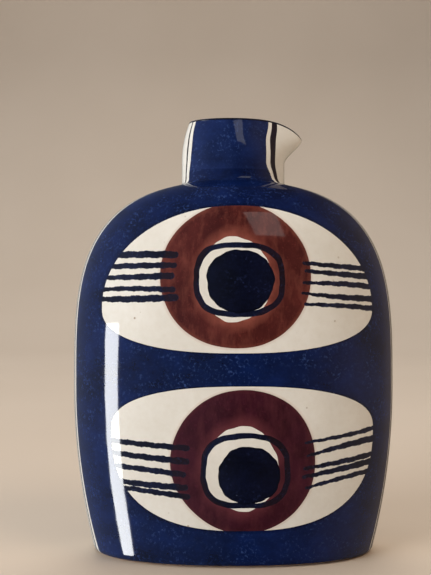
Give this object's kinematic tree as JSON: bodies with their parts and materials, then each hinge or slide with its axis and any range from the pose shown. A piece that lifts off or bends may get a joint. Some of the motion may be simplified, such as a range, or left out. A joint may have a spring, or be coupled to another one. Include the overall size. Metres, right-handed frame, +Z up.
{
  "type": "bottle vase",
  "caption": "Flattened earthenware bottle vase with a short neck and pouring lip, painted with ringed ovals.",
  "frame": {"origin": "on the table, under the middle of the foot", "axes": "+Z up along the neck, +X towards the pouring lip, the painted front faces -Y"},
  "size_m": [0.1294, 0.065, 0.174],
  "materials": {
    "fired_clay": "matte",
    "cobalt_glaze": "gloss",
    "navy_glaze": "gloss",
    "cream_glaze": "gloss",
    "oxblood_glaze": "gloss",
    "plum_glaze": "gloss",
    "rim_glaze": "gloss",
    "clear_glaze": "gloss"
  },
  "bodies": {
    "root": {"band_left": "cream_glaze", "band_right": "cream_glaze", "clay_base": "fired_clay", "clay_neck": "fired_clay", "clay_wall": "fired_clay", "ground_back": "cobalt_glaze", "ground_front": "cobalt_glaze", "line_left_back": "navy_glaze", "line_left_front": "navy_glaze", "line_right_back": "navy_glaze", "line_right_front": "navy_glaze", "lining_glaze": "clear_glaze", "lower_cream_back": "cream_glaze", "lower_cream_front": "cream_glaze", "lower_dot_back": "navy_glaze", "lower_dot_front": "navy_glaze", "lower_outline_back": "navy_glaze", "lower_outline_front": "navy_glaze", "lower_ring_back": "plum_glaze", "lower_ring_front": "plum_glaze", "lower_strokes_left_back": "navy_glaze", "lower_strokes_left_front": "navy_glaze", "lower_strokes_right_back": "navy_glaze", "lower_strokes_right_front": "navy_glaze", "neck_cobalt_back": "cobalt_glaze", "neck_cobalt_front": "cobalt_glaze", "rim_line": "rim_glaze", "under_glaze": "clear_glaze", "upper_cream_back": "cream_glaze", "upper_cream_front": "cream_glaze", "upper_dot_back": "navy_glaze", "upper_dot_front": "navy_glaze", "upper_outline_back": "navy_glaze", "upper_outline_front": "navy_glaze", "upper_ring_back": "oxblood_glaze", "upper_ring_front": "oxblood_glaze", "upper_strokes_left_back": "navy_glaze", "upper_strokes_left_front": "navy_glaze", "upper_strokes_right_back": "navy_glaze", "upper_strokes_right_front": "navy_glaze"}
  },
  "joints": []
}
